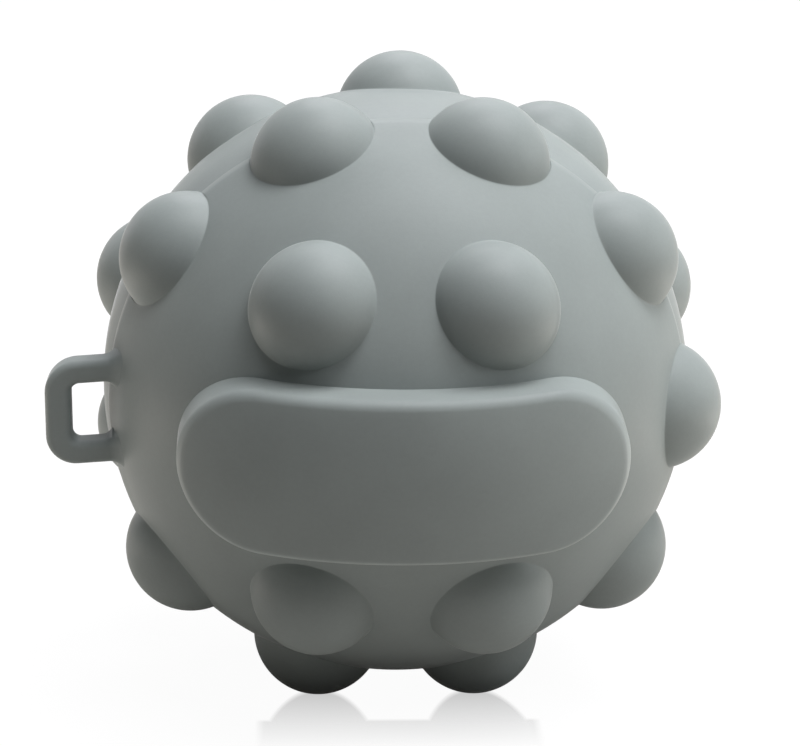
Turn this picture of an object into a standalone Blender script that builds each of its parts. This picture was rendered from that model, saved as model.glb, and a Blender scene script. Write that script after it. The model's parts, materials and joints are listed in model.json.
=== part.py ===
"""Pop fidget ball: a hollow silicone ball in two shells, with domes that pop inwards.

Everything is modelled in the ball's own frame, which the empty ball_centre carries:
+Z is the front pole, where the blank pad sits, +Y is up and +X is to the right of
someone who looks at the front. The empty then tips the ball on to the three domes
that it stands on and sets it on the floor.
"""

import math

import bmesh
import bpy
from mathutils import Matrix, Vector

MM = 0.001

# Ball
BALL_DIAMETER = 66.5 * MM
WALL = 2.2 * MM
CLEARANCE = 0.3 * MM

# Seam between the two shells, as an angle from the front pole
SEAM_ANGLE = math.radians(75)
TONGUE_LENGTH = 2.0 * MM
LIP_HEIGHT = 0.16 * MM
LIP_WIDTH = 0.95 * MM
LIP_RUN = 5.0 * MM

# Pop domes
DOME_DIAMETER = 13.9 * MM
DOME_RISE = 4.25 * MM
DOME_SKIN = 1.3 * MM
SKIRT_DEPTH = 1.0 * MM
SKIRT_TAPER = 0.45 * MM
RIM_WIDTH = 1.45 * MM

# Rings of domes, as angles from the front pole, and the domes in a full ring
INNER_RING = math.radians(36.5)
OUTER_RING = math.radians(72.5)
INNER_COUNT = 6
OUTER_COUNT = 10
REAR_TURN = math.radians(1.1)

# Blank pad on the front
PAD_LENGTH = 47.7 * MM
PAD_HEIGHT = 17.8 * MM
PAD_THICKNESS = 4.0 * MM
PAD_RAISE = 0.45 * MM
PAD_EDGE = 0.75 * MM
PAD_DRAFT = math.radians(1.5)

# Strap loop in the seam, on the left
LOOP_HOLE_LENGTH = 4.5 * MM
LOOP_HEIGHT = 11.95 * MM
LOOP_DROP = 0.23 * MM
LOOP_DEPTH = 3.3 * MM
LOOP_BAR = 2.6 * MM
LOOP_END_BAR = 2.35 * MM
LOOP_CORNER = 2.9 * MM
LOOP_HOLE_CORNER = 0.8 * MM
LOOP_EDGE = 0.7 * MM
LOOP_FLARE = 1.1 * MM
ANCHOR_LENGTH = 1.3 * MM
ANCHOR_LIP = 1.2 * MM

# Facets
SHELL_STEPS = 40
SHELL_ARC = math.radians(9)
DOME_STEPS = 16
DOME_RINGS = 3
PAD_RUN_STEPS = 6
PAD_END_STEPS = 8
PAD_RINGS = 4
EDGE_STEPS = 3

BALL_RADIUS = BALL_DIAMETER / 2
CAVITY_RADIUS = BALL_RADIUS - WALL
HOLE_RADIUS = DOME_DIAMETER / 2
SEAM_HEIGHT = BALL_RADIUS * math.cos(SEAM_ANGLE)
FRONT_EDGE = SEAM_HEIGHT + CLEARANCE / 2
REAR_EDGE = SEAM_HEIGHT - CLEARANCE / 2
TONGUE_TIP = FRONT_EDGE + TONGUE_LENGTH
GROOVE_END = TONGUE_TIP + CLEARANCE
TONGUE_RADIUS = BALL_RADIUS - WALL / 2 - CLEARANCE / 2
GROOVE_RADIUS = TONGUE_RADIUS + CLEARANCE

# Dome heights are measured along its axis, from the ball's centre
DOME_BASE = math.sqrt(BALL_RADIUS**2 - HOLE_RADIUS**2)
DOME_TOP = BALL_RADIUS + DOME_RISE
CAP_HEIGHT = DOME_TOP - DOME_BASE
DOME_RADIUS = (HOLE_RADIUS**2 + CAP_HEIGHT**2) / (2 * CAP_HEIGHT)
DOME_CENTRE = DOME_TOP - DOME_RADIUS

# The loop's hole starts at the rear shell's edge
LOOP_HOLE_NEAR = -math.sqrt(BALL_RADIUS**2 - REAR_EDGE**2)
LOOP_HOLE_FAR = LOOP_HOLE_NEAR - LOOP_HOLE_LENGTH
LOOP_END = LOOP_HOLE_FAR - LOOP_END_BAR

# The loop's root flares where it meets the ball, and its anchor lies inside the wall
LOOP_FRONT = REAR_EDGE + LOOP_DEPTH
ROOT_HALF = LOOP_HEIGHT / 2 + LOOP_FLARE
ANCHOR_HALF = ROOT_HALF + ANCHOR_LIP
ANCHOR_OUTSIDE = CLEARANCE - math.sqrt(CAVITY_RADIUS**2 - LOOP_FRONT**2 - ANCHOR_HALF**2)
ANCHOR_INSIDE = ANCHOR_OUTSIDE + ANCHOR_LENGTH

# Two domes of the outer front ring and one of the outer rear ring touch the floor
OUTER_PITCH = 2 * math.pi / OUTER_COUNT
REST_TILT = math.atan(math.tan(OUTER_RING) * (1 - math.cos(OUTER_PITCH / 2)) / 2)


def silicone(name, colour, roughness):
    """Matt silicone rubber in one linear colour."""
    material = bpy.data.materials.new(name)
    material.use_nodes = True
    shader = material.node_tree.nodes["Principled BSDF"]
    shader.inputs["Base Color"].default_value = (*colour, 1.0)
    shader.inputs["Roughness"].default_value = roughness
    shader.inputs["Metallic"].default_value = 0.0
    return material


def clear_scene():
    for obj in list(bpy.data.objects):
        bpy.data.objects.remove(obj, do_unlink=True)


def add_object(name, data, parent, material=None):
    obj = bpy.data.objects.new(name, data)
    bpy.context.scene.collection.objects.link(obj)
    obj.parent = parent
    if material and not data.materials:
        data.materials.append(material)
    return obj


def mesh_from(bm, name):
    """Closes and smooths a bmesh, and turns it into a mesh with its faces outwards."""
    bmesh.ops.remove_doubles(bm, verts=bm.verts, dist=0.001 * MM)
    bmesh.ops.recalc_face_normals(bm, faces=bm.faces)
    mesh = bpy.data.meshes.new(name)
    bm.to_mesh(mesh)
    bm.free()
    mesh.shade_smooth()
    mesh.set_sharp_from_angle(angle=math.radians(35))
    return mesh


def turn(bm, profile, steps, matrix=None):
    """Turns (radius, height) points, which start and end on the axis, round +Z."""
    first = len(bm.verts)
    verts = [bm.verts.new((radius, 0, height)) for radius, height in profile]
    edges = [bm.edges.new(pair) for pair in zip(verts, verts[1:])]
    bmesh.ops.spin(bm, geom=verts + edges, axis=(0, 0, 1), steps=steps, angle=2 * math.pi)
    if matrix:
        bm.verts.ensure_lookup_table()
        bmesh.ops.transform(bm, matrix=matrix, verts=bm.verts[first:])


def arc(radius, start, end, steps, centre=0.0):
    """(radius, height) points of an arc, by its angles from +Z, about a centre on the axis."""
    points = []
    for i in range(steps + 1):
        angle = start + (end - start) * i / steps
        points.append((radius * math.sin(angle), centre + radius * math.cos(angle)))
    return points


def angle_at(radius, height):
    """Angle from +Z of the points of a ball of this radius that lie at this height."""
    return math.acos(height / radius)


def arc_steps(start, end):
    return max(2, round(abs(end - start) / SHELL_ARC))


def direction(polar, azimuth):
    """Unit vector from the ball's centre: polar from the front pole, azimuth from the top to the right."""
    return Vector((math.sin(polar) * math.sin(azimuth), math.sin(polar) * math.cos(azimuth), math.cos(polar)))


def ring(name, polar, count, first, skipped=()):
    """(name, direction) of each dome in a ring, clockwise from the top as seen from the front."""
    pitch = 2 * math.pi / count
    azimuths = [first + i * pitch for i in range(count)]
    kept = [a for a in azimuths if not any(abs(a - s) < pitch / 4 for s in skipped)]
    return [(f"{name}_{i + 1}", direction(polar, azimuth)) for i, azimuth in enumerate(kept)]


def dome_places():
    """Every dome. The pad covers two of the inner front ring, and the loop takes the place of one outer dome."""
    right, left = math.radians(90), math.radians(270)
    first = math.pi / INNER_COUNT
    places = ring("front_dome", INNER_RING, INNER_COUNT, first, skipped=(right, left))
    places += ring("fore_dome", OUTER_RING, OUTER_COUNT, OUTER_PITCH / 2, skipped=(left,))
    places += ring("aft_dome", math.pi - OUTER_RING, OUTER_COUNT, REAR_TURN)
    places += ring("rear_dome", math.pi - INNER_RING, INNER_COUNT, REAR_TURN)
    places.append(("rear_pole_dome", direction(math.pi, 0.0)))
    return places


def along(axis):
    """Matrix that turns +Z on to an axis through the ball's centre."""
    return axis.to_track_quat("Z", "Y").to_matrix().to_4x4()


def dome_mesh():
    """A thin cap over a short tapered skirt, about an origin at the centre of the dome's base."""
    skirt_radius = HOLE_RADIUS - CLEARANCE
    skirt_foot = -SKIRT_DEPTH
    rim_radius = skirt_radius - RIM_WIDTH
    centre = DOME_CENTRE - DOME_BASE
    inner_radius = DOME_RADIUS - DOME_SKIN
    outer = arc(DOME_RADIUS, 0.0, math.asin(skirt_radius / DOME_RADIUS), DOME_RINGS, centre)
    skirt = [(skirt_radius - SKIRT_TAPER, skirt_foot), (rim_radius, skirt_foot)]
    inner = arc(inner_radius, math.asin(rim_radius / inner_radius), 0.0, DOME_RINGS - 1, centre)
    bm = bmesh.new()
    turn(bm, outer + skirt + inner, DOME_STEPS)
    return mesh_from(bm, "pop_dome")


def add_domes(parent, material):
    """One cap in each hole, with its origin on the line that it pops along."""
    mesh = dome_mesh()
    for name, axis in dome_places():
        dome = add_object(name, mesh, parent, material)
        dome.matrix_local = Matrix.Translation(axis * DOME_BASE) @ along(axis)


def hole_cutter(parent):
    """Straight cutters through the wall, one for each dome."""
    foot = CAVITY_RADIUS - WALL
    profile = [(0, DOME_TOP), (HOLE_RADIUS, DOME_TOP), (HOLE_RADIUS, foot), (0, foot)]
    bm = bmesh.new()
    for _, axis in dome_places():
        turn(bm, profile, DOME_STEPS, along(axis))
    return as_cutter(add_object("dome_hole_cutter", mesh_from(bm, "dome_hole_cutter"), parent))


def as_cutter(obj):
    obj.hide_render = True
    obj.display_type = "WIRE"
    return obj


def cut(obj, cutter):
    boolean = obj.modifiers.new(cutter.name, "BOOLEAN")
    boolean.operation = "DIFFERENCE"
    boolean.solver = "EXACT"
    boolean.object = cutter


def lip(edge):
    """The front shell's edge: it stands a little proud and rounds off, which the seam's pale line is."""
    width = LIP_WIDTH / BALL_RADIUS
    places = ((1.0, 1.0), (0.45, 0.75), (0.0, 0.0))
    return [arc(BALL_RADIUS + LIP_HEIGHT * rise, edge - width * share, edge, 1)[0] for share, rise in places]


def front_shell_profile():
    """The cap in front of the seam, which rises to a low lip, with a groove inside its edge."""
    edge = angle_at(BALL_RADIUS, FRONT_EDGE)
    rise = edge - LIP_RUN / BALL_RADIUS
    groove = angle_at(GROOVE_RADIUS, FRONT_EDGE), angle_at(GROOVE_RADIUS, GROOVE_END)
    inside = angle_at(CAVITY_RADIUS, GROOVE_END)
    profile = arc(BALL_RADIUS, 0.0, rise, arc_steps(0.0, rise)) + lip(edge)
    profile += arc(GROOVE_RADIUS, *groove, 1)
    return profile + arc(CAVITY_RADIUS, inside, 0.0, arc_steps(inside, 0.0))


def rear_shell_profile():
    """The rest of the ball, with a tongue on its edge that enters the groove."""
    edge = angle_at(BALL_RADIUS, REAR_EDGE)
    tongue = angle_at(TONGUE_RADIUS, TONGUE_TIP), angle_at(TONGUE_RADIUS, REAR_EDGE)
    inside = angle_at(CAVITY_RADIUS, TONGUE_TIP)
    profile = arc(CAVITY_RADIUS, math.pi, inside, arc_steps(math.pi, inside))
    profile += arc(TONGUE_RADIUS, *tongue, 1)
    return profile + arc(BALL_RADIUS, edge, math.pi, arc_steps(edge, math.pi))


def add_shell(name, profile, parent, material, cutters):
    """A turned shell, set round by a quarter of a facet so that its edges miss the corners of the pole's hole."""
    bm = bmesh.new()
    turn(bm, profile, SHELL_STEPS)
    shell = add_object(name, mesh_from(bm, name), parent, material)
    shell.rotation_euler.z = math.pi / 2 / SHELL_STEPS
    for cutter in cutters:
        cut(shell, cutter)


def slot_outline(half_length, half_height):
    """A slot shape with round ends, as (point, outward normal) pairs with the same count at any size."""
    straight = half_length - half_height
    run = [straight * (2 * i / PAD_RUN_STEPS - 1) for i in range(PAD_RUN_STEPS)]
    turns = [math.pi * i / PAD_END_STEPS for i in range(PAD_END_STEPS)]
    outline = []
    for side in (-1, 1):
        outline += [(Vector((-side * x, side * half_height)), Vector((0, side))) for x in run]
        for angle in turns:
            normal = Vector((-side * math.sin(angle), side * math.cos(angle)))
            outline.append((Vector((-side * straight, 0)) + normal * half_height, normal))
    return outline


def on_ball(point, radius):
    """The point of a ball's front that lies behind or before a point of the seam's plane."""
    return Vector((point.x, point.y, math.sqrt(radius**2 - point.x**2 - point.y**2)))


def pad_ring(inset, radius, spread=0.0, sink=0.0):
    """One ring of the pad: its outline drawn in by an inset, laid on a ball, spread by its draft and sunk."""
    half_height = max(PAD_HEIGHT / 2 - inset, 0.0)
    points = []
    for flat, normal in slot_outline(PAD_LENGTH / 2 - inset, half_height):
        place = flat + normal * spread + Vector((0, PAD_RAISE))
        points.append(on_ball(place, radius) - Vector((0, 0, sink)))
    return points


def pad_rings():
    """Rings from the middle of the pad's back, out over its wall and rounded edge, to the middle of its face."""
    back = BALL_RADIUS + CLEARANCE
    face = BALL_RADIUS + PAD_THICKNESS
    half = PAD_HEIGHT / 2
    spread = PAD_THICKNESS * math.tan(PAD_DRAFT)
    rings = [pad_ring(half, back), pad_ring(half / 2, back), pad_ring(0.0, back, spread)]
    for i in range(EDGE_STEPS + 1):
        angle = math.pi / 2 * i / EDGE_STEPS
        inset = PAD_EDGE * (1 - math.cos(angle))
        rings.append(pad_ring(inset, face, sink=PAD_EDGE * (1 - math.sin(angle))))
    for i in range(1, PAD_RINGS + 1):
        rings.append(pad_ring(PAD_EDGE + (half - PAD_EDGE) * i / PAD_RINGS, face))
    return rings


def add_pad(parent, material):
    """A blank pad that follows the ball, with walls that run straight forwards."""
    bm = bmesh.new()
    rings = [[bm.verts.new(point) for point in points] for points in pad_rings()]
    for below, above in zip(rings, rings[1:]):
        for i in range(len(below)):
            j = (i + 1) % len(below)
            bm.faces.new((below[i], below[j], above[j], above[i]))
    add_object("front_pad", mesh_from(bm, "front_pad"), parent, material)


def corner(centre, radius, start, turn_by, steps=4):
    """Points of a rounded corner, by the angle of its first point from +X and the angle it turns through."""
    points = []
    for i in range(steps + 1):
        angle = math.radians(start + turn_by * i / steps)
        points.append((centre[0] + radius * math.cos(angle), centre[1] + radius * math.sin(angle)))
    return points


def mirrored(points):
    """Points below the X axis, then the same ones above it in the other order."""
    return points + [(x, -y) for x, y in reversed(points)]


def loop_outline(inset):
    """The loop's outer edge and its root, which flares, passes the wall and ends in a wider anchor."""
    half = LOOP_HEIGHT / 2
    wall_x = -math.sqrt(BALL_RADIUS**2 - REAR_EDGE**2 - ROOT_HALF**2)
    lower = [(ANCHOR_INSIDE - inset, inset - ANCHOR_HALF), (ANCHOR_OUTSIDE + inset, inset - ANCHOR_HALF)]
    lower.append((ANCHOR_OUTSIDE + inset, inset - ROOT_HALF))
    flare = LOOP_FLARE + inset
    start = math.degrees(math.asin(inset / flare))
    lower += corner((wall_x - LOOP_FLARE, -ROOT_HALF), flare, start, 90 - start)
    centre = (LOOP_CORNER + LOOP_END, LOOP_CORNER - half)
    return mirrored(lower + corner(centre, LOOP_CORNER - inset, 270, -90, 6))


def loop_hole(inset):
    """The strap's hole, between the loop's end bar and the ball."""
    low = LOOP_HOLE_CORNER + LOOP_BAR - LOOP_HEIGHT / 2
    near = LOOP_HOLE_NEAR - LOOP_HOLE_CORNER
    far = LOOP_HOLE_FAR + LOOP_HOLE_CORNER
    radius = LOOP_HOLE_CORNER + inset
    return mirrored(corner((near, low), radius, 0, -90, 3) + corner((far, low), radius, 270, -90, 3))


def edge_levels():
    """(inset, height) of each level of the loop's rounded edges, from its back to its front."""
    turns = [math.pi / 2 * i / EDGE_STEPS for i in range(EDGE_STEPS + 1)]
    rounded = [(LOOP_EDGE * (1 - math.sin(a)), LOOP_EDGE * (1 - math.cos(a))) for a in turns]
    return rounded + [(inset, LOOP_DEPTH - height) for inset, height in reversed(rounded)]


def add_loop(parent, material):
    """A flat ring with rounded edges, whose back lies in the plane of the rear shell's edge."""
    bm = bmesh.new()
    ends = []
    for outline in (loop_outline, loop_hole):
        rings = []
        for inset, height in edge_levels():
            verts = [bm.verts.new((x, y - LOOP_DROP, REAR_EDGE + height)) for x, y in outline(inset)]
            rings.append([bm.edges.new((verts[i - 1], verts[i])) for i in range(len(verts))])
        for below, above in zip(rings, rings[1:]):
            bmesh.ops.bridge_loops(bm, edges=below + above)
        ends.append((rings[0], rings[-1]))
    for outer, hole in zip(*ends):
        bmesh.ops.triangle_fill(bm, edges=outer + hole, use_beauty=True)
    add_object("strap_loop", mesh_from(bm, "strap_loop"), parent, material)


def loop_cutter(parent):
    """A notch for the loop's root, through the front shell's edge and the tongue behind it."""
    outside = -BALL_RADIUS - CLEARANCE
    depth = LOOP_DEPTH + 2 * CLEARANCE
    width = 2 * ROOT_HALF + 2 * CLEARANCE
    size = Matrix.Diagonal((ANCHOR_INSIDE - outside, width, depth, 1.0))
    middle = ((outside + ANCHOR_INSIDE) / 2, -LOOP_DROP, REAR_EDGE - CLEARANCE + depth / 2)
    bm = bmesh.new()
    bmesh.ops.create_cube(bm, size=1.0, matrix=Matrix.Translation(middle) @ size)
    return as_cutter(add_object("loop_notch_cutter", mesh_from(bm, "loop_notch_cutter"), parent))


def stand_on_floor(centre):
    """Sets the ball down on the floor, with the middle of its outline over the origin."""
    bpy.context.view_layer.update()
    graph = bpy.context.evaluated_depsgraph_get()
    points = []
    for obj in centre.children:
        if obj.hide_render:
            continue
        evaluated = obj.evaluated_get(graph)
        points += [evaluated.matrix_world @ vert.co for vert in evaluated.to_mesh().vertices]
        evaluated.to_mesh_clear()
    low = Vector([min(point[i] for point in points) for i in range(3)])
    high = Vector([max(point[i] for point in points) for i in range(3)])
    centre.location = (-(low.x + high.x) / 2, -(low.y + high.y) / 2, -low.z)


def main():
    clear_scene()
    centre = bpy.data.objects.new("ball_centre", None)
    bpy.context.scene.collection.objects.link(centre)
    centre.rotation_euler = (math.radians(90) + REST_TILT, 0, 0)
    shell_silicone = silicone("shell_silicone", (0.245, 0.275, 0.267), 0.62)
    dome_silicone = silicone("dome_silicone", (0.235, 0.262, 0.256), 0.6)
    pad_silicone = silicone("pad_silicone", (0.24, 0.27, 0.262), 0.64)
    loop_silicone = silicone("loop_silicone", (0.235, 0.265, 0.258), 0.62)
    cutters = [hole_cutter(centre), loop_cutter(centre)]
    add_shell("front_shell", front_shell_profile(), centre, shell_silicone, cutters)
    add_shell("rear_shell", rear_shell_profile(), centre, shell_silicone, cutters)
    add_pad(centre, pad_silicone)
    add_loop(centre, loop_silicone)
    add_domes(centre, dome_silicone)
    stand_on_floor(centre)


main()
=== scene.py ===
"""Looks of the pop fidget ball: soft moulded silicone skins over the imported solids, and a plain studio.

The ball's own frame is used throughout: Z runs from the ball's centre to the front pole, under the
blank pad, Y runs up and X to the right of someone who looks at the front. Each finished piece is
then carried into the part's frame, with its place in its mesh.
"""

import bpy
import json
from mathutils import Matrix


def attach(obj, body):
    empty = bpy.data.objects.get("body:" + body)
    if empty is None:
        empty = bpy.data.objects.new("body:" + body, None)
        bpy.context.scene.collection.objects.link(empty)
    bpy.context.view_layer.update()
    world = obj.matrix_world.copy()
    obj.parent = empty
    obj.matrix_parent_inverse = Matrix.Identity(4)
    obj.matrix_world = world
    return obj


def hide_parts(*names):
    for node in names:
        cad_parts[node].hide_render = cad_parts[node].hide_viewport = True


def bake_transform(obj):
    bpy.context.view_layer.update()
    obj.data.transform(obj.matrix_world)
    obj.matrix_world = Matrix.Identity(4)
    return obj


bl_info = {
    "name": "Pop Fidget Ball",
    "version": (1, 0, 0),
    "blender": (4, 5, 0),
    "location": "3D View > Sidebar > Pop Ball",
    "description": "Makes the skins, domes, pad, strap loop and studio of a silicone pop fidget ball",
    "category": "Object",
}

import json
import math

import bmesh
import bpy
import numpy as np
from bpy.props import FloatProperty, FloatVectorProperty, IntProperty, PointerProperty
from bpy.types import Operator, Panel, PropertyGroup
from mathutils import Matrix, Vector

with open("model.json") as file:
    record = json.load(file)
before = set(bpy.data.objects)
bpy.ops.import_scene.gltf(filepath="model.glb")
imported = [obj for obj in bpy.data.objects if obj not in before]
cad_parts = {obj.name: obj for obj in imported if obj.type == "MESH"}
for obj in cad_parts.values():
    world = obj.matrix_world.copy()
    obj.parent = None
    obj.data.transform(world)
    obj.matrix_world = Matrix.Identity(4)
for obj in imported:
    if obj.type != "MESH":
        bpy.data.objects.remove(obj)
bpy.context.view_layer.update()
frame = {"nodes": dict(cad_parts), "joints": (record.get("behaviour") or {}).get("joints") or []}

MM = 0.001
TURN = 2 * math.pi
BALL = "ball"
MERGE = 0.0005 * MM  # points that are closer than this are one point


# Places read from the frame


def inward_axes():
    """Each dome's body and the direction in which it pops."""
    return {joint["child"]: Vector(joint["axis"]).normalized() for joint in frame["joints"]}


def solid_centre(obj):
    """Centre of volume of a closed solid."""
    mesh = obj.data
    mesh.calc_loop_triangles()
    corners = np.array([[mesh.vertices[i].co for i in t.vertices] for t in mesh.loop_triangles])
    volumes = np.einsum("ij,ij->i", corners[:, 0], np.cross(corners[:, 1], corners[:, 2]))
    return (corners.sum(axis=1) * volumes[:, None]).sum(axis=0) / volumes.sum() / 4


def ball_centre():
    """The point where all the domes' axes meet."""
    rows, values = [], []
    for body, inward in inward_axes().items():
        for i, value in enumerate(solid_centre(frame["nodes"][body])):
            rows.append([float(i == 0), float(i == 1), float(i == 2), -inward[i]])
            values.append(value)
    return Vector(np.linalg.lstsq(np.array(rows), np.array(values), rcond=None)[0][:3])


def ball_matrix():
    """Carries the ball's own frame into the part's frame."""
    front = inward_axes()["rear_pole_dome"]
    right = Vector((1, 0, 0))
    up = front.cross(right)
    matrix = Matrix((right, up, front)).transposed().to_4x4()
    matrix.translation = ball_centre()
    return matrix


BALL_MATRIX = ball_matrix()


# Sizes and colours that a user would change


def length(name, text, value, low=0.0):
    return FloatProperty(name=name, description=text, default=value * MM, min=low, subtype="DISTANCE", unit="LENGTH")


def hex_colour(code):
    """An sRGB hex value as linear red, green and blue."""
    parts = [int(code[i : i + 2], 16) / 255 for i in (1, 3, 5)]
    return [part / 12.92 if part <= 0.04045 else ((part + 0.055) / 1.055) ** 2.4 for part in parts]


def tint(name, text, code):
    return FloatVectorProperty(
        name=name, description=text, default=hex_colour(code), size=3, min=0.0, max=1.0, subtype="COLOR"
    )


class BallSizes(PropertyGroup):
    diameter: length("Ball diameter", "Across the ball, without its domes", 66.5)
    wall: length("Wall", "Thickness of both shells", 2.2)
    seam_angle: FloatProperty(
        name="Seam angle", description="From the front pole to the seam", default=math.radians(75), subtype="ANGLE"
    )
    lip_height: length("Lip height", "How far the front shell's edge stands over the rear shell", 0.25)
    lip_width: length("Lip width", "Width of the slope in which the front shell's edge ends", 1.5)
    lip_run: length("Lip run", "How far each shell takes to come back to the ball's round", 5.0)
    steps: IntProperty(name="Steps", description="Facets round each shell", default=240, min=24)
    colour: tint("Colour", "Silicone of the two shells", "#8C9391")


class DomeSizes(PropertyGroup):
    diameter: length("Dome diameter", "Across a dome's base", 13.9)
    rise: length("Dome rise", "From the ball's surface to a dome's top", 4.25)
    crease: length("Crease radius", "Hollow rounding where a dome meets the ball", 0.18)
    film: length("Film", "Thickness of the skin that turns inside out", 0.12)
    steps: IntProperty(name="Steps", description="Facets round each dome", default=80, min=12)
    colour: tint("Colour", "Silicone of the domes", "#8C9391")


class PadSizes(PropertyGroup):
    pad_length: length("Pad length", "From end to end", 47.7)
    pad_height: length("Pad height", "From top to bottom", 17.8)
    thickness: length("Pad thickness", "From the ball's surface to the pad's face", 4.0)
    raise_by: length("Raise", "How far the pad's middle lies above the front pole", 0.45)
    edge: length("Edge radius", "Rounding of the pad's front edge", 0.95)
    draft: FloatProperty(
        name="Draft", description="Slope of the pad's walls", default=math.radians(1.5), subtype="ANGLE"
    )
    colour: tint("Colour", "Silicone of the blank pad", "#8C9391")


class LoopSizes(PropertyGroup):
    hole_length: length("Hole length", "From the ball to the loop's end bar", 4.0)
    loop_height: length("Loop height", "Across both side bars", 11.95)
    drop: length("Drop", "How far the loop's middle lies below the ball's", 0.25)
    depth: length("Loop depth", "From the loop's back to its front", 3.3)
    bar: length("Side bar", "Width of the upper and lower bars", 2.6)
    end_bar: length("End bar", "Width of the bar that carries a strap", 2.86)
    corner: length("Corner", "Radius of the outer corners", 3.5)
    hole_corner: length("Hole corner", "Radius of the hole's corners", 1.0)
    edge: length("Edge radius", "Rounding of all the loop's edges", 0.8)
    flare: length("Flare", "Radius of the hollow in which the bars run out on the ball", 1.4)
    lean: FloatProperty(
        name="Lean", description="How far the loop hangs from the ball", default=math.radians(4), subtype="ANGLE"
    )
    colour: tint("Colour", "Silicone of the strap loop", "#8A918F")


class StageSizes(PropertyGroup):
    lens: FloatProperty(name="Lens", description="Camera focal length", default=120.22, unit="CAMERA")
    distance: length("Distance", "From the camera to the ball's centre", 306.43)
    floor: tint("Table", "Matt part of the pale table", "#7C7C7C")


# Node and mesh helpers


def add_node(tree, kind, inputs=None, **settings):
    """Adds a node with its settings. Each input is a value, or a socket to link it to."""
    node = tree.nodes.new(kind)
    for name, value in settings.items():
        setattr(node, name, value)
    for key, value in (inputs or {}).items():
        if isinstance(value, bpy.types.NodeSocket):
            tree.links.new(value, node.inputs[key])
        else:
            node.inputs[key].default_value = value
    return node


def step_of(tree, value, start, end, low, high):
    """A value that goes from low to high while another goes from start to end."""
    inputs = {"Value": value, "From Min": start, "From Max": end, "To Min": low, "To Max": high}
    return add_node(tree, "ShaderNodeMapRange", inputs).outputs["Result"]


def math_of(tree, operation, first, second=0.0):
    return add_node(tree, "ShaderNodeMath", {0: first, 1: second}, operation=operation).outputs["Value"]


def spread(tree, noise, low, high):
    """Goes from low to high over the middle of a noise's range, where nearly all its values lie."""
    return step_of(tree, noise, 0.3, 0.7, low, high)


def length_of(tree, vector):
    return add_node(tree, "ShaderNodeVectorMath", {0: vector}, operation="LENGTH").outputs["Value"]


def vector_of(tree, x, y, z=0.0):
    return add_node(tree, "ShaderNodeCombineXYZ", {"X": x, "Y": y, "Z": z}).outputs["Vector"]


def mix_of(tree, factor, first, second):
    return add_node(tree, "ShaderNodeMix", {"Factor": factor, "A": first, "B": second}).outputs["Result"]


def colour_mix_of(tree, factor, first, second):
    """Goes from one colour to another. The colours are the seventh and eighth inputs of the node."""
    inputs = {"Factor": factor, 6: (*first, 1.0), 7: (*second, 1.0)}
    return add_node(tree, "ShaderNodeMix", inputs, data_type="RGBA").outputs[2]


def new_tree(name, inputs):
    """A geometry node tree with named inputs, given as (name, socket type) pairs, and one geometry output."""
    tree = bpy.data.node_groups.new(name, "GeometryNodeTree")
    for label, kind in inputs:
        tree.interface.new_socket(label, in_out="INPUT", socket_type=kind)
    tree.interface.new_socket("Geometry", in_out="OUTPUT", socket_type="NodeSocketGeometry")
    return tree, add_node(tree, "NodeGroupInput")


def add_object(name, data):
    obj = bpy.data.objects.new(name, data)
    bpy.context.scene.collection.objects.link(obj)
    return obj


def run_tree(obj, tree, values):
    """Gives an object a tree as a modifier, with the tree's named inputs set by their identifiers."""
    modifier = obj.modifiers.new(tree.name, "NODES")
    modifier.node_group = tree
    for item in tree.interface.items_tree:
        if item.in_out == "INPUT" and item.name in values:
            modifier[item.identifier] = values[item.name]


def settle(obj):
    """Turns what an object evaluates to into its own plain mesh, in the part's frame."""
    bpy.context.view_layer.update()
    graph = bpy.context.evaluated_depsgraph_get()
    mesh = bpy.data.meshes.new_from_object(obj.evaluated_get(graph))
    obj.modifiers.clear()
    mesh.transform(BALL_MATRIX)
    mesh.name = obj.name
    obj.data = mesh
    return obj


def face_outwards(mesh):
    """Merges doubles and turns every face of a closed mesh outwards."""
    bm = bmesh.new()
    bm.from_mesh(mesh)
    bmesh.ops.remove_doubles(bm, verts=bm.verts, dist=MERGE)
    bmesh.ops.recalc_face_normals(bm, faces=bm.faces)
    bm.to_mesh(mesh)
    bm.free()


def smooth(mesh, degrees=35):
    mesh.shade_smooth()
    mesh.set_sharp_from_angle(angle=math.radians(degrees))


def polyline(name, points):
    """A guide: (radius, height) points in order, as loose vertices in the XZ plane."""
    mesh = bpy.data.meshes.new(name)
    mesh.from_pydata([(radius, 0, height) for radius, height in points], [], [])
    return add_object(name, mesh)


def remove_guides(*guides):
    for guide in guides:
        bpy.data.objects.remove(guide, do_unlink=True)


def arc(radius, start, end, steps, centre=0.0):
    """(radius, height) points of an arc, by its angles from +Z, about a centre on the axis."""
    angles = np.linspace(start, end, steps + 1)
    return [(radius * math.sin(a), centre + radius * math.cos(a)) for a in angles]


# Materials


CLOUD_SIZE = 9 * MM  # broad, faint clouds in the colour and the gloss
SPECK_SIZE = 0.5 * MM  # dust and moulding marks
GRAIN_SIZE = 0.16 * MM  # a tenth of a millimetre on the real skin, drawn a little coarser so that it shows
GRAIN_DEPTH = 0.012 * MM


def noise_of(tree, place, size, detail):
    inputs = {"Vector": place, "Scale": 1 / size, "Detail": detail}
    return add_node(tree, "ShaderNodeTexNoise", inputs).outputs["Fac"]


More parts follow.
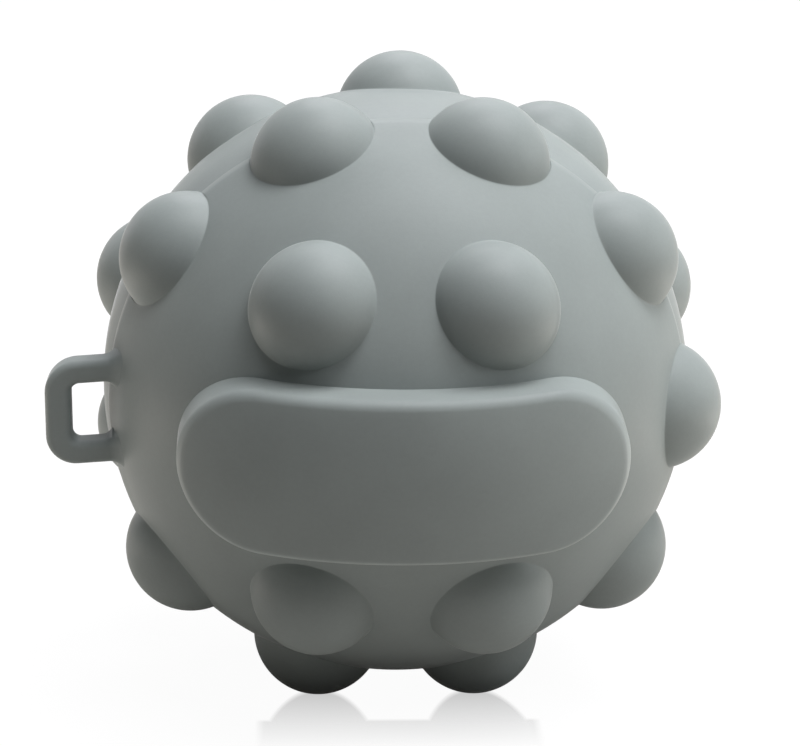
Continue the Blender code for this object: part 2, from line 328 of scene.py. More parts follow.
def moulded_silicone(name, colour, roughness=0.46, painted_highlight=None):
    """Matt moulded silicone: soft to the eye, cloudy by a few hundredths, with the fine grain of a blasted mould.

    A thin sheen, the bloom on the skin, lights up its outlines. A painted highlight, if any, is a factor on the
    colour by place.
    """
    material = bpy.data.materials.new(name)
    material.use_nodes = True
    tree = material.node_tree
    shader = tree.nodes["Principled BSDF"]
    place = add_node(tree, "ShaderNodeTexCoord").outputs["Object"]
    clouds = noise_of(tree, place, CLOUD_SIZE, detail=4.0)
    specks = noise_of(tree, place, SPECK_SIZE, detail=3.0)
    grains = noise_of(tree, place, GRAIN_SIZE, detail=2.0)
    factor = math_of(tree, "MULTIPLY", spread(tree, clouds, 0.96, 1.04), spread(tree, specks, 0.985, 1.015))
    # a painted highlight brightens the colour where it is given, in place of light
    if painted_highlight:
        factor = math_of(tree, "MULTIPLY", factor, painted_highlight(tree, place))
    tinted = add_node(tree, "ShaderNodeVectorMath", {0: tuple(colour), "Scale": factor}, operation="SCALE")
    tree.links.new(tinted.outputs["Vector"], shader.inputs["Base Color"])
    gloss = spread(tree, clouds, roughness - 0.04, roughness + 0.04)
    tree.links.new(gloss, shader.inputs["Roughness"])
    bump = add_node(tree, "ShaderNodeBump", {"Height": grains, "Distance": GRAIN_DEPTH, "Strength": 0.5})
    tree.links.new(bump.outputs["Normal"], shader.inputs["Normal"])
    shader.inputs["IOR"].default_value = 1.41
    shader.inputs["Specular IOR Level"].default_value = 0.18
    shader.inputs["Sheen Weight"].default_value = 0.7
    shader.inputs["Sheen Roughness"].default_value = 0.12
    return material


def painted_edge_highlight(ball, pad):
    """A painted highlight on the pad's rounded edge: a paler line about half a millimetre wide, as a factor on its
    colour.

    The line runs round the lower half and fades out up both round ends.
    """
    # the first number is how much the painted highlight brightens the edge's colour
    highlight_gain, inner, outer = 1.28, 0.6 * MM, 0.35 * MM
    fade_start, fade_end = 1 * MM, 6 * MM
    half, face = pad.pad_height / 2, ball.diameter / 2 + pad.thickness
    straight = pad.pad_length / 2 - half

    def factor(tree, place):
        to_ball = BALL_MATRIX.inverted()
        inputs = {"Vector": place, "Location": to_ball.translation, "Rotation": to_ball.to_euler()}
        local = add_node(tree, "ShaderNodeMapping", inputs).outputs["Vector"]
        here = add_node(tree, "ShaderNodeSeparateXYZ", {"Vector": local})
        past_straight = math_of(tree, "SUBTRACT", math_of(tree, "ABSOLUTE", here.outputs["X"]), straight)
        rise = math_of(tree, "SUBTRACT", here.outputs["Y"], pad.raise_by)
        from_middle = length_of(tree, vector_of(tree, math_of(tree, "MAXIMUM", past_straight), rise))
        line = step_of(tree, from_middle, half - inner, half - outer, 1.0, highlight_gain)
        out = length_of(tree, vector_of(tree, here.outputs["X"], rise, here.outputs["Z"]))
        on_edge = step_of(tree, out, face - 1.2 * pad.edge, face - pad.edge, 0.0, 1.0)
        low = step_of(tree, rise, fade_start, fade_end, 1.0, 0.0)
        return mix_of(tree, math_of(tree, "MULTIPLY", on_edge, low), 1.0, line)

    return factor


# Geometry node trees


def turning_tree():
    """Turns a polyline of (radius, height) points round Z into a surface."""
    tree, given = new_tree("Turned profile", (("Profile", "NodeSocketGeometry"), ("Steps", "NodeSocketInt")))
    profile = given.outputs["Profile"]
    count = add_node(tree, "GeometryNodeAttributeDomainSize", {"Geometry": profile}).outputs["Point Count"]
    columns = math_of(tree, "ADD", given.outputs["Steps"], 1.0)
    sizes = {"Size X": 1.0, "Size Y": 1.0, "Vertices X": count, "Vertices Y": columns}
    grid = add_node(tree, "GeometryNodeMeshGrid", sizes)
    here = add_node(tree, "GeometryNodeInputPosition").outputs["Position"]
    share = add_node(tree, "ShaderNodeSeparateXYZ", {"Vector": here})
    along = math_of(tree, "ADD", share.outputs["X"], 0.5)
    number = math_of(tree, "MULTIPLY", along, math_of(tree, "SUBTRACT", count, 1.0))
    index = add_node(tree, "FunctionNodeFloatToInt", {"Float": number}, rounding_mode="ROUND")
    inputs = {"Geometry": profile, "Value": here, "Index": index.outputs["Integer"]}
    point = add_node(tree, "GeometryNodeSampleIndex", inputs, data_type="FLOAT_VECTOR")
    angle = math_of(tree, "MULTIPLY", math_of(tree, "ADD", share.outputs["Y"], 0.5), TURN)
    inputs = {"Vector": point.outputs["Value"], "Angle": angle}
    around = add_node(tree, "ShaderNodeVectorRotate", inputs, rotation_type="Z_AXIS")
    inputs = {"Geometry": grid.outputs["Mesh"], "Position": around.outputs["Vector"]}
    placed = add_node(tree, "GeometryNodeSetPosition", inputs)
    inputs = {"Geometry": placed.outputs["Geometry"], "Distance": MERGE}
    closed = add_node(tree, "GeometryNodeMergeByDistance", inputs)
    add_node(tree, "NodeGroupOutput", {"Geometry": closed.outputs["Geometry"]})
    return tree


def turned(tree, turning, profile, steps):
    """Adds the turning tree as a group to another tree."""
    group = add_node(tree, "GeometryNodeGroup", node_tree=turning)
    tree.links.new(profile, group.inputs["Profile"])
    tree.links.new(steps, group.inputs["Steps"])
    return group.outputs["Geometry"]


def guide_geometry(tree, socket):
    """What a guide object holds, in a tree that takes it as an input."""
    return add_node(tree, "GeometryNodeObjectInfo", {"Object": socket}).outputs["Geometry"]


def set_on_domes(tree, points, shape, selection=None):
    """Stands a shape on the points that have been picked, with its Z along each point's own direction."""
    outward = add_node(tree, "GeometryNodeInputNamedAttribute", {"Name": "outward"}, data_type="FLOAT_VECTOR")
    aim = add_node(tree, "FunctionNodeAlignRotationToVector", {"Vector": outward.outputs["Attribute"]}, axis="Z")
    inputs = {"Points": points, "Instance": shape, "Rotation": aim.outputs["Rotation"]}
    if selection:
        inputs["Selection"] = selection
    instances = add_node(tree, "GeometryNodeInstanceOnPoints", inputs)
    real = add_node(tree, "GeometryNodeRealizeInstances", {"Geometry": instances.outputs["Instances"]})
    return real.outputs["Geometry"]


def dome_tree(turning):
    """One dome of the pattern: the turned film stood on the point whose number is asked for."""
    tree, given = new_tree(
        "Pop dome",
        (
            ("Places", "NodeSocketGeometry"),
            ("Profile", "NodeSocketObject"),
            ("Steps", "NodeSocketInt"),
            ("Number", "NodeSocketInt"),
            ("Material", "NodeSocketMaterial"),
        ),
    )
    film = turned(tree, turning, guide_geometry(tree, given.outputs["Profile"]), given.outputs["Steps"])
    index = add_node(tree, "GeometryNodeInputIndex").outputs["Index"]
    inputs = {2: index, 3: given.outputs["Number"]}  # the node's third and fourth inputs compare whole numbers
    wanted = add_node(tree, "FunctionNodeCompare", inputs, data_type="INT", operation="EQUAL")
    domes = set_on_domes(tree, given.outputs["Places"], film, wanted.outputs["Result"])
    finish = add_node(tree, "GeometryNodeSetMaterial", {"Geometry": domes, "Material": given.outputs["Material"]})
    add_node(tree, "NodeGroupOutput", {"Geometry": finish.outputs["Geometry"]})
    return tree


def shell_tree(turning):
    """A shell turned from its profile, with a round hole for every dome."""
    tree, given = new_tree(
        "Shell with dome holes",
        (
            ("Profile", "NodeSocketGeometry"),
            ("Places", "NodeSocketObject"),
            ("Hole profile", "NodeSocketObject"),
            ("Steps", "NodeSocketInt"),
            ("Hole steps", "NodeSocketInt"),
            ("Material", "NodeSocketMaterial"),
        ),
    )
    shell = turned(tree, turning, given.outputs["Profile"], given.outputs["Steps"])
    plug = turned(tree, turning, guide_geometry(tree, given.outputs["Hole profile"]), given.outputs["Hole steps"])
    plugs = set_on_domes(tree, guide_geometry(tree, given.outputs["Places"]), plug)
    inputs = {"Mesh 1": shell, "Mesh 2": plugs}
    cut = add_node(tree, "GeometryNodeMeshBoolean", inputs, operation="DIFFERENCE", solver="MANIFOLD")
    inputs = {"Geometry": cut.outputs["Mesh"], "Material": given.outputs["Material"]}
    finish = add_node(tree, "GeometryNodeSetMaterial", inputs)
    add_node(tree, "NodeGroupOutput", {"Geometry": finish.outputs["Geometry"]})
    return tree


def dome_places():
    """A guide with one vertex at the ball's centre for each dome, which holds the dome's outward direction."""
    to_ball = BALL_MATRIX.to_3x3().inverted()
    outward = [to_ball @ -inward for inward in inward_axes().values()]
    mesh = bpy.data.meshes.new("dome_places")
    mesh.from_pydata([(0, 0, 0)] * len(outward), [], [])
    attribute = mesh.attributes.new("outward", "FLOAT_VECTOR", "POINT")
    attribute.data.foreach_set("vector", np.array(outward, np.float32).ravel())
    return add_object("dome_places", mesh)


# Domes


def dome_sphere(ball, dome):
    """Radius of a dome's sphere and the height of its centre, from the dome's base circle and rise."""
    radius = ball.diameter / 2
    base_radius = dome.diameter / 2
    base = math.sqrt(radius**2 - base_radius**2)
    height = radius + dome.rise - base
    sphere = (base_radius**2 + height**2) / (2 * height)
    return sphere, radius + dome.rise - sphere


def crease_circle(ball, dome):
    """Centre of the hollow rounding that touches both the ball and a dome."""
    sphere, centre = dome_sphere(ball, dome)
    outer = ball.diameter / 2 + dome.crease
    height = (outer**2 - (sphere + dome.crease) ** 2 + centre**2) / (2 * centre)
    return math.sqrt(outer**2 - height**2), height


def hole_radius(ball, dome):
    """Where the hollow rounding runs out into the ball."""
    across, _ = crease_circle(ball, dome)
    return across * (ball.diameter / 2) / (ball.diameter / 2 + dome.crease)


def dome_profile(ball, dome):
    """Outer line of a dome from the ball's surface over the crease to its top."""
    sphere, centre = dome_sphere(ball, dome)
    across, height = crease_circle(ball, dome)
    start = math.atan2(-across, -height)
    end = math.atan2(-across, centre - height)
    turns = np.linspace(start, end, 7)
    crease = [(across + dome.crease * math.sin(a), height + dome.crease * math.cos(a)) for a in turns]
    side = math.atan2(across, height - centre)
    return crease[:-1] + arc(sphere, side, 0.0, 30, centre)


def film_profile(ball, dome):
    """A closed line: up the outside of a dome, and down again one film thickness under it."""
    outside = dome_profile(ball, dome)
    return outside + [(radius, height - dome.film) for radius, height in reversed(outside)] + outside[:1]


def hole_profile(ball, dome):
    """A plug of the holes' size, from inside the wall to above the ball."""
    radius = hole_radius(ball, dome)
    top = ball.diameter / 2 + dome.rise
    bottom = ball.diameter / 2 - 2 * ball.wall
    return [(0, top), (radius, top), (radius, bottom), (0, bottom)]


class POPBALL_OT_domes(Operator):
    """Make the pop domes, each a thin film that stands on the ball in place of its own body"""

    bl_idname = "mesh.pop_ball_domes"
    bl_label = "Pop domes"

    def execute(self, context):
        ball, dome = context.scene.pop_ball, context.scene.pop_domes
        material = moulded_silicone("thin moulded silicone, domes", dome.colour, roughness=0.44)
        tree = dome_tree(turning_tree())
        profile = polyline("dome_profile", film_profile(ball, dome))
        places = dome_places()
        for number, (body, inward) in enumerate(inward_axes().items()):
            skin = add_object(body + "_skin", places.data.copy())
            values = {"Profile": profile, "Steps": dome.steps, "Number": number, "Material": material}
            run_tree(skin, tree, values)
            settle(skin)
            face_outwards(skin.data)
            smooth(skin.data)
            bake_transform(skin)
            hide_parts(body)
        remove_guides(profile, places)
        return {"FINISHED"}


# Shells


LIP_BEND = 1.3  # power that rounds the lip's slope off, so that it is steepest at the seam


def seam_crease(ball):
    """The angle at which the front shell's slope meets the rear shell, which is a little behind the seam."""
    behind = 0.7 * ball.lip_width
    return ball.seam_angle + behind / (ball.diameter / 2)


def seam_line(ball, way, spans):
    """(radius, height) points of one shell's outside near the seam, from the crease out to the ball's round.

    The front shell stands half the lip's height proud and ends in a rounded slope. The rear shell sinks by as
    much, so that its surface meets the foot of the slope.
    """
    radius, crease = ball.diameter / 2, seam_crease(ball)
    points = []
    for distance in spans:
        share = min(distance / ball.lip_run, 1.0)
        fade = 1 - share * share * (3 - 2 * share)
        level = -way * ball.lip_height / 2 * fade
        if way < 0 and distance < ball.lip_width:
            level -= ball.lip_height * (1 - distance / ball.lip_width) ** LIP_BEND
        angle = crease + way * distance / radius
        points += arc(radius + level, angle, angle, 0)
    return points


def lip_spans(ball):
    """Distances from the seam, close together where the slope bends."""
    near = ball.lip_width * np.linspace(0, 1, 13) ** LIP_BEND
    return list(near) + list(np.linspace(ball.lip_width, ball.lip_run, 15)[1:])


def front_profile(ball):
    """The front shell's closed line, from the pole over its edge to the inside."""
    radius, inside = ball.diameter / 2, ball.diameter / 2 - ball.wall
    crease = seam_crease(ball)
    outer = arc(radius, 0.0, crease - ball.lip_run / radius, 90)[:-1]
    return outer + seam_line(ball, -1, reversed(lip_spans(ball))) + arc(inside, crease, 0.0, 50)


def rear_profile(ball):
    """The rear shell's closed line, from the rear pole inside, over its edge and back outside."""
    radius, inside = ball.diameter / 2, ball.diameter / 2 - ball.wall
    crease = seam_crease(ball)
    outer = arc(radius, crease + ball.lip_run / radius, math.pi, 120)[1:]
    return arc(inside, math.pi, crease, 60) + seam_line(ball, 1, lip_spans(ball)) + outer


def round_normals(mesh, ball):
    """Gives the faces that lie on the ball the ball's own normals, so that no facet shows round a hole."""
    radius, tolerance, same_way = ball.diameter / 2, 0.006 * MM, 0.999
    count = len(mesh.loops)
    normals = np.empty(count * 3, np.float32)
    mesh.corner_normals.foreach_get("vector", normals)
    normals = normals.reshape(-1, 3)
    places = np.empty(len(mesh.vertices) * 3, np.float32)
    mesh.vertices.foreach_get("co", places)
    from_centre = places.reshape(-1, 3) - np.array(BALL_MATRIX.translation)
    distance = np.linalg.norm(from_centre, axis=1)
    corner = np.empty(count, np.int32)
    mesh.loops.foreach_get("vertex_index", corner)
    direction = from_centre[corner] / distance[corner][:, None]
    on_ball = abs(distance[corner] - radius) < tolerance
    on_ball &= (normals * direction).sum(axis=1) > same_way
    normals[on_ball] = direction[on_ball]
    mesh.normals_split_custom_set(normals.tolist())


class POPBALL_OT_shells(Operator):
    """Make the skins of the front and rear shells, with their seam"""

    bl_idname = "mesh.pop_ball_shells"
    bl_label = "Shells"

    def execute(self, context):
        ball, dome = context.scene.pop_ball, context.scene.pop_domes
        material = moulded_silicone("moulded silicone, shells", ball.colour)
        tree = shell_tree(turning_tree())
        hole = polyline("hole_profile", hole_profile(ball, dome))
        places = dome_places()
        for node, profile in (("front_shell", front_profile(ball)), ("rear_shell", rear_profile(ball))):
            skin = polyline(node + "_skin", profile)
            values = {
                "Places": places,
                "Hole profile": hole,
                "Steps": ball.steps,
                "Hole steps": dome.steps,
                "Material": material,
            }
            run_tree(skin, tree, values)
            settle(skin)
            smooth(skin.data)
            round_normals(skin.data, ball)
            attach(skin, BALL)
            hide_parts(node)
        remove_guides(hole, places)
        return {"FINISHED"}


# Blank pad


def slot_outline(half_length, half_height, run=40, turn=40):
    """A slot shape with round ends, as (point, outward normal) rows with the same count at any size."""
    straight = half_length - half_height
    rows = []
    for side in (-1, 1):
        rows += [(-side * x, side * half_height, 0, side) for x in np.linspace(-straight, straight, run + 1)[:-1]]
        for a in np.linspace(0, math.pi, turn + 1)[:-1]:
            normal = (-side * math.sin(a), side * math.cos(a))
            rows.append((-side * straight + normal[0] * half_height, normal[1] * half_height, *normal))
    return np.array(rows)


def pad_ring(pad, inset, radius, spread=0.0, sink=0.0):
    """One ring of the pad: its outline drawn in by an inset, laid on a ball, spread by its draft and sunk."""
    rows = slot_outline(pad.pad_length / 2 - inset, max(pad.pad_height / 2 - inset, 0.0))
    flat = rows[:, :2] + rows[:, 2:] * spread + np.array([0, pad.raise_by])
    height = np.sqrt(radius**2 - (flat**2).sum(axis=1)) - sink
    return np.column_stack([flat, height])


def pad_rings(ball, pad):
    """Rings from inside the ball, out over the wall and the rounded edge, to the middle of the face."""
    sunk, half = 0.4 * MM, pad.pad_height / 2
    back, face = ball.diameter / 2 - sunk, ball.diameter / 2 + pad.thickness
    spread = pad.thickness * math.tan(pad.draft)
    rings = [pad_ring(pad, half, back), pad_ring(pad, 0.0, back, spread)]
    for a in np.linspace(0, math.pi / 2, 11):
        inset = pad.edge * (1 - math.cos(a))
        rings.append(pad_ring(pad, inset, face, sink=pad.edge * (1 - math.sin(a))))
    for share in np.linspace(0, 1, 15)[1:]:
        rings.append(pad_ring(pad, pad.edge + (half - pad.edge) * share, face))
    return rings


def ring_mesh(name, rings):
    """Joins rings of points, each with the same count, into bands of quads."""
    count = len(rings[0])
    points = np.vstack(rings)
    faces = []
    for level in range(len(rings) - 1):
        for i in range(count):
            j = (i + 1) % count
            low, high = level * count, (level + 1) * count
            faces.append((low + i, low + j, high + j, high + i))
    mesh = bpy.data.meshes.new(name)
    mesh.from_pydata(points.tolist(), [], faces)
    return mesh


class POPBALL_OT_pad(Operator):
    """Make the blank raised pad on the front"""

    bl_idname = "mesh.pop_ball_pad"
    bl_label = "Blank pad"

    def execute(self, context):
        ball, pad = context.scene.pop_ball, context.scene.pop_pad
        mesh = ring_mesh("front_pad_skin", pad_rings(ball, pad))
        mesh.transform(BALL_MATRIX)
        face_outwards(mesh)
        smooth(mesh, 50)
        # the pad's colour carries a painted highlight along its lower rounded edge
        mesh.materials.append(moulded_silicone("moulded silicone, blank pad", pad.colour, painted_highlight=painted_edge_highlight(ball, pad)))
        skin = add_object("front_pad_skin", mesh)
        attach(skin, BALL)
        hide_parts("front_pad")
        return {"FINISHED"}


# Strap loop


BAR_STEPS = 110  # steps along each side bar, close together because the bars run out in a small hollow
END_STEPS = 8  # steps along each half of the end bar


def corner(centre, radius, start, turn_by, steps=16):
    """Points of a rounded corner, by the angle of its first point from +X and the angle it turns through."""
    angles = np.radians(np.linspace(start, start + turn_by, steps + 1))
    return [(centre[0] + radius * math.cos(a), centre[1] + radius * math.sin(a)) for a in angles]


def loop_lines(ball, loop):
    """The loop's outer line and its hole's line, as rows with the same count, from one root to the other.

    Both start well inside the ball, so that the hole's near side is the ball itself.
    """
    radius, half = ball.diameter / 2, loop.loop_height / 2
    behind_seam, root_depth = 0.15 * MM, 1.7 * ball.wall
    back = radius * math.cos(ball.seam_angle) - behind_seam
    far = -math.sqrt(radius**2 - back**2) - loop.hole_length
    tip, root = far - loop.end_bar, -radius + root_depth
    low = loop.bar - half
    outer_turn, hole_turn = (tip + loop.corner, loop.corner - half), (far + loop.hole_corner, low + loop.hole_corner)
    outer = [(x, -half) for x in np.linspace(root, outer_turn[0], BAR_STEPS + 1)[:-1]]
    hole = [(x, low) for x in np.linspace(root, hole_turn[0], BAR_STEPS + 1)[:-1]]
    outer += corner(outer_turn, loop.corner, 270, -90)
    hole += corner(hole_turn, loop.hole_corner, 270, -90)
    outer += [(tip, y) for y in np.linspace(outer_turn[1], 0, END_STEPS + 1)[1:]]
    hole += [(far, y) for y in np.linspace(hole_turn[1], 0, END_STEPS + 1)[1:]]
    lines = [np.array(line + [(x, -y) for x, y in reversed(line[:-1])]) for line in (outer, hole)]
    for line in lines:
        line[:, 1] += (line[:, 0] - far) * math.tan(loop.lean) - loop.drop
    return *lines, back


def bar_section(width, loop):
    """(across, height, its outward normal) of a bar's rounded section, from the outer line to the hole."""
    rows = []
    for across, height, start in (
        (loop.edge, loop.edge, 180),
        (width - loop.edge, loop.edge, 270),
        (width - loop.edge, loop.depth - loop.edge, 0),
        (loop.edge, loop.depth - loop.edge, 90),
    ):
        for a in np.radians(np.linspace(start, start + 90, 9)):
            side, front = math.cos(a), math.sin(a)
            rows.append((across + loop.edge * side, height + loop.edge * front, side, front))
    return rows


def run_out(ball, loop, point, normal):
    """Swells a bar near the ball into a hollow that touches both, but not on the loop's flat back.

    The hollow ends a little under the ball's round, because the rear shell sinks at the seam.
    """
    sunk, flare, halvings = 0.6 * ball.lip_height, loop.flare, 24
    radius = ball.diameter / 2 - sunk
    low, high = 0.0, flare
    for _ in range(halvings):
        swell = (low + high) / 2
        gap = (point + normal * swell).length - radius
        outside = gap > 0 and (swell > flare or gap > flare or math.hypot(flare - swell, flare - gap) < flare)
        low, high = (low, swell) if outside else (swell, high)
    if point.length - radius > flare:
        high = 0.0
    return point + normal * high * min(1.0, 1.0 + normal.z)


def loop_mesh(ball, loop):
    """The bars of the loop as one bent rod with a rounded section, closed inside the ball."""
    outer, hole, back = loop_lines(ball, loop)
    rings = []
    for (x0, y0), (x1, y1) in zip(outer, hole):
        start = Vector((x0, y0, back))
        across = Vector((x1 - x0, y1 - y0, 0))
        width = across.length
        across.normalize()
        ring = []
        for step, height, side, front in bar_section(width, loop):
            place = start + across * step + Vector((0, 0, height))
            ring.append(run_out(ball, loop, place, across * side + Vector((0, 0, front))))
        rings.append(ring)
    mesh = ring_mesh("strap_loop_skin", rings)
    bm = bmesh.new()
    bm.from_mesh(mesh)
    bmesh.ops.holes_fill(bm, edges=bm.edges)
    bm.to_mesh(mesh)
    bm.free()
    return mesh


class POPBALL_OT_loop(Operator):
    """Make the strap loop that stands out of the seam"""

    bl_idname = "mesh.pop_ball_loop"
    bl_label = "Strap loop"

    def execute(self, context):
        ball, loop = context.scene.pop_ball, context.scene.pop_loop
        mesh = loop_mesh(ball, loop)
        mesh.transform(BALL_MATRIX)
        face_outwards(mesh)
        smooth(mesh, 50)
        mesh.materials.append(moulded_silicone("moulded silicone, strap loop", loop.colour))
        skin = add_object("strap_loop_skin", mesh)
        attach(skin, BALL)
        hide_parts("strap_loop")
        return {"FINISHED"}


# Studio


CAMERA_PITCH = math.radians(18.5)
CAMERA_YAW = math.radians(2.1)
CAMERA_ROLL = math.radians(-0.56)
CAMERA_SHIFT = (0.0059, 0.0065)  # the photograph's framing, as a share of its width


def camera_matrix(distance):
    """The camera's place, seen from the ball: pitched, yawed and rolled about the ball's centre."""
    turn_x = Matrix.Rotation(CAMERA_PITCH, 4, "X")
    turn_y = Matrix.Rotation(CAMERA_YAW, 4, "Y")
    turn_z = Matrix.Rotation(CAMERA_ROLL, 4, "Z")
    view = (turn_z @ turn_x @ turn_y).inverted()
    return BALL_MATRIX @ view @ Matrix.Translation((0, 0, distance))


def add_camera(stage):
    data = bpy.data.cameras.new("photo_camera")
    data.lens = stage.lens
    data.sensor_width = 36
    data.shift_x, data.shift_y = CAMERA_SHIFT
    data.clip_start, data.clip_end = 0.01, 20
    camera = add_object("photo_camera", data)
    camera.matrix_world = camera_matrix(stage.distance)
    bpy.context.scene.camera = camera


def add_softbox(name, place, target, size, power, colour):
    """A square lamp that faces a point, and that the camera doesn't see."""
    data = bpy.data.lights.new(name, "AREA")
    data.shape = "SQUARE"
    data.size = size
    data.energy = power
    data.color = colour
    lamp = add_object(name, data)
    lamp.location = place
    lamp.rotation_euler = (Vector(target) - Vector(place)).to_track_quat("-Z", "Y").to_euler()
    lamp.visible_camera = False


def round_the_ball(azimuth, elevation, distance):
    """A place by its azimuth from the camera's side towards the right, and its elevation, in degrees."""
    turn, rise = math.radians(azimuth), math.radians(elevation)
    way = Vector((math.sin(turn) * math.cos(rise), -math.cos(turn) * math.cos(rise), math.sin(rise)))
    return BALL_MATRIX.translation + way * distance


SOFTBOX_DISTANCE = 0.6  # metres from the ball's centre

# Softboxes: name, azimuth and elevation in degrees, side in metres, power in watts, colour
SOFTBOXES = (
    ("top_softbox", 90, 78, 0.2, 1.45, "#FCFCFF"),
    ("high_softbox", 90, 66, 0.25, 1.61, "#FCFCFF"),
    ("front_softbox", 45, 52, 0.25, 1.05, "#FCFCFF"),
    ("left_softbox", 330, 78, 0.2, 1.03, "#FCFCFF"),
    ("right_back_softbox", 135, 52, 0.25, 0.37, "#FBF7FF"),
    ("back_softbox", 180, 52, 0.25, 0.94, "#FBF7FF"),
    ("low_softbox", 90, 18, 0.25, 0.77, "#F8FCFF"),
    ("low_back_softbox", 225, 12, 0.2, 0.19, "#FBF7FF"),
)

# Reflector cards that lie on the table and face up: name, X and Y in metres, side in metres, power in watts
CARDS = (
    ("left_card", -0.16, 0.0, 0.12, 0.160),
    ("right_card", 0.16, 0.0, 0.12, 0.169),
    ("front_card", 0.13, -0.13, 0.12, 0.085),
)
CARD_COLOUR = "#FFF7EE"
CARD_LIFT = 2 * MM

TABLE_SIDE = 8.0  # metres
WHITE = "#FFFFFF"
SHADE = "#454545"  # the matt part of the table that the camera sees, on which the ball's shadow shows

# Zones of the table that light the ball from below: each edge in millimetres from the middle, and the step there
BOUNCE_EDGES = ((30, 0.383), (55, 0.126), (100, -0.509))


def white_table(stage):
    """White acrylic table: satin, and polished under the two front domes, so that they show in it faintly.

    The camera sees it as plain white, which the ball's shadow still darkens a little. It is dim under the ball
    and white farther off, in what the silicone reflects too. What it throws back on the ball comes from a
    bright zone round the ball's foot, 30 to 100 mm from the middle.
    """
    material = bpy.data.materials.new("white acrylic, table")
    material.use_nodes = True
    tree = material.node_tree
    tree.nodes.clear()
    path = add_node(tree, "ShaderNodeLightPath")
    place = add_node(tree, "ShaderNodeTexCoord").outputs["Object"]
    far = length_of(tree, place)
    seen = path.outputs["Is Camera Ray"]
    mirrored = math_of(tree, "MAXIMUM", path.outputs["Is Glossy Ray"], path.outputs["Is Transmission Ray"])
    bounce = 0.0
    for edge, step in BOUNCE_EDGES:
        bounce = math_of(tree, "ADD", bounce, step_of(tree, far, (edge - 1) * MM, (edge + 1) * MM, 0.0, step))
    in_gloss = step_of(tree, far, 28 * MM, 70 * MM, 0.08, 1.0)
    in_view = step_of(tree, far, 60 * MM, 250 * MM, 0.965, 1.0)
    strength = mix_of(tree, seen, mix_of(tree, mirrored, bounce, in_gloss), in_view)
    matt = colour_mix_of(tree, seen, stage.floor, hex_colour(SHADE))
    tinge = colour_mix_of(tree, seen, hex_colour(CARD_COLOUR), hex_colour(WHITE))
    body = add_node(tree, "ShaderNodeBsdfDiffuse", {"Color": matt})
    glow = add_node(tree, "ShaderNodeEmission", {"Color": tinge, "Strength": strength})
    satin = add_node(tree, "ShaderNodeAddShader", {0: body.outputs["BSDF"], 1: glow.outputs["Emission"]})
    polished = add_node(tree, "ShaderNodeBsdfGlossy", {"Roughness": 0.03})
    share = math_of(tree, "MULTIPLY", polish_of(tree, place), seen)
    mix = add_node(tree, "ShaderNodeMixShader", {0: share, 1: satin.outputs["Shader"], 2: polished.outputs["BSDF"]})
    add_node(tree, "ShaderNodeOutputMaterial", {"Surface": mix.outputs["Shader"]})
    return material


def polish_of(tree, place):
    """How polished the table is, by place: where the mirror images of the two front domes lie, and in between.

    Seen from the camera, each image is an oval four times as long as it is wide, which starts at the point
    that the dome stands on. The ball's own image starts between them, 9 mm towards the camera. The polish
    fades out 19 mm from where the images start.
    """
    middle, stand = 1.46 * MM, 8.9 * MM  # X of the place between the two domes, and each dome's distance from it
    start, radius = -7.0 * MM, 7.35 * MM  # Y where the images start, and half the width of an oval
    half_oval, ball_half = 4 * radius, 15 * MM
    polish, reach = 0.43, 0.63  # the polish where the images start, and how many half ovals on it has gone
    split = add_node(tree, "ShaderNodeSeparateXYZ", {"Vector": place})
    from_middle = math_of(tree, "ABSOLUTE", math_of(tree, "SUBTRACT", split.outputs["X"], middle))
    aside = math_of(tree, "DIVIDE", math_of(tree, "SUBTRACT", from_middle, stand), radius)
    onward = math_of(tree, "DIVIDE", math_of(tree, "SUBTRACT", split.outputs["Y"], start), -half_oval)
    far = length_of(tree, vector_of(tree, aside, math_of(tree, "SUBTRACT", onward, 1.0)))
    domes = step_of(tree, far, 0.97, 1.03, 1.0, 0.0)
    started = step_of(tree, onward, 0.31, 0.34, 0.0, 1.0)
    beside = step_of(tree, from_middle, ball_half, ball_half + 1 * MM, 1.0, 0.0)
    ball = math_of(tree, "MULTIPLY", started, beside)
    share = step_of(tree, onward, 0.0, reach, polish, 0.0)
    return math_of(tree, "MULTIPLY", math_of(tree, "MAXIMUM", domes, ball), share)


def white_studio():
    """White surroundings that the camera and every gloss see. The softboxes and the table give the light."""
    world = bpy.data.worlds.new("white studio")
    world.use_nodes = True
    tree = world.node_tree
    background = tree.nodes["Background"]
    background.inputs["Color"].default_value = (1, 1, 1, 1)
    path = add_node(tree, "ShaderNodeLightPath")
    strength = math_of(tree, "SUBTRACT", 1.0, path.outputs["Is Diffuse Ray"])
    tree.links.new(strength, background.inputs["Strength"])
    return world


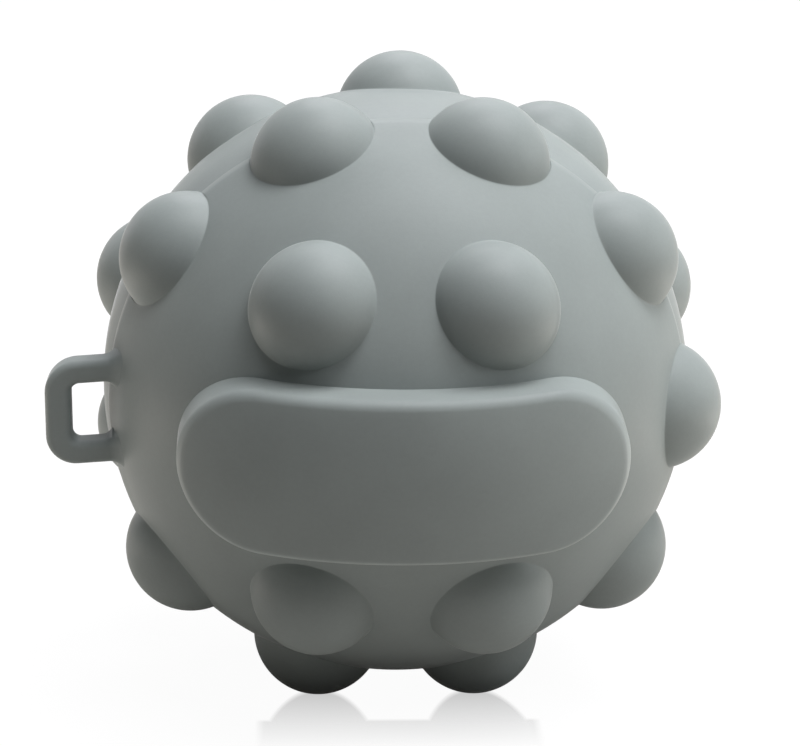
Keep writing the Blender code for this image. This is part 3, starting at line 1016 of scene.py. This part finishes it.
class POPBALL_OT_stage(Operator):
    """Make the pale table, the white surroundings, the softboxes and the camera"""

    bl_idname = "scene.pop_ball_stage"
    bl_label = "Studio"

    def execute(self, context):
        stage = context.scene.pop_stage
        context.scene.view_settings.view_transform = "Standard"
        mesh = bpy.data.meshes.new("table")
        half = TABLE_SIDE / 2
        mesh.from_pydata([(-half, -half, 0), (half, -half, 0), (half, half, 0), (-half, half, 0)], [], [(0, 1, 2, 3)])
        mesh.materials.append(white_table(stage))
        add_object("table", mesh)
        context.scene.world = white_studio()
        for name, azimuth, elevation, size, power, code in SOFTBOXES:
            place = round_the_ball(azimuth, elevation, SOFTBOX_DISTANCE)
            add_softbox(name, place, BALL_MATRIX.translation, size, power, hex_colour(code))
        for name, x, y, size, power in CARDS:
            add_softbox(name, Vector((x, y, CARD_LIFT)), Vector((x, y, 1)), size, power, hex_colour(CARD_COLOUR))
        add_camera(stage)
        return {"FINISHED"}


# Panel and registration


class POPBALL_PT_panel(Panel):
    """Lists what the ball is made of"""

    bl_label = "Pop Fidget Ball"
    bl_idname = "POPBALL_PT_panel"
    bl_space_type = "VIEW_3D"
    bl_region_type = "UI"
    bl_category = "Pop Ball"

    def draw(self, context):
        for group, operator in GROUPS:
            box = self.layout.box()
            settings = getattr(context.scene, group)
            for name in settings.__annotations__:
                box.prop(settings, name)
            box.operator(operator)


SETTINGS = {
    "pop_ball": BallSizes,
    "pop_domes": DomeSizes,
    "pop_pad": PadSizes,
    "pop_loop": LoopSizes,
    "pop_stage": StageSizes,
}
GROUPS = (
    ("pop_ball", "mesh.pop_ball_shells"),
    ("pop_domes", "mesh.pop_ball_domes"),
    ("pop_pad", "mesh.pop_ball_pad"),
    ("pop_loop", "mesh.pop_ball_loop"),
    ("pop_stage", "scene.pop_ball_stage"),
)
OPERATORS = (POPBALL_OT_shells, POPBALL_OT_domes, POPBALL_OT_pad, POPBALL_OT_loop, POPBALL_OT_stage)


def register():
    for cls in (*SETTINGS.values(), *OPERATORS, POPBALL_PT_panel):
        bpy.utils.register_class(cls)
    for name, cls in SETTINGS.items():
        setattr(bpy.types.Scene, name, PointerProperty(type=cls))


def unregister():
    for name in SETTINGS:
        delattr(bpy.types.Scene, name)
    for cls in reversed((*SETTINGS.values(), *OPERATORS, POPBALL_PT_panel)):
        bpy.utils.unregister_class(cls)


def main():
    register()
    bpy.ops.mesh.pop_ball_shells()
    bpy.ops.mesh.pop_ball_domes()
    bpy.ops.mesh.pop_ball_pad()
    bpy.ops.mesh.pop_ball_loop()
    bpy.ops.scene.pop_ball_stage()


if __name__ == "__main__":
    main()
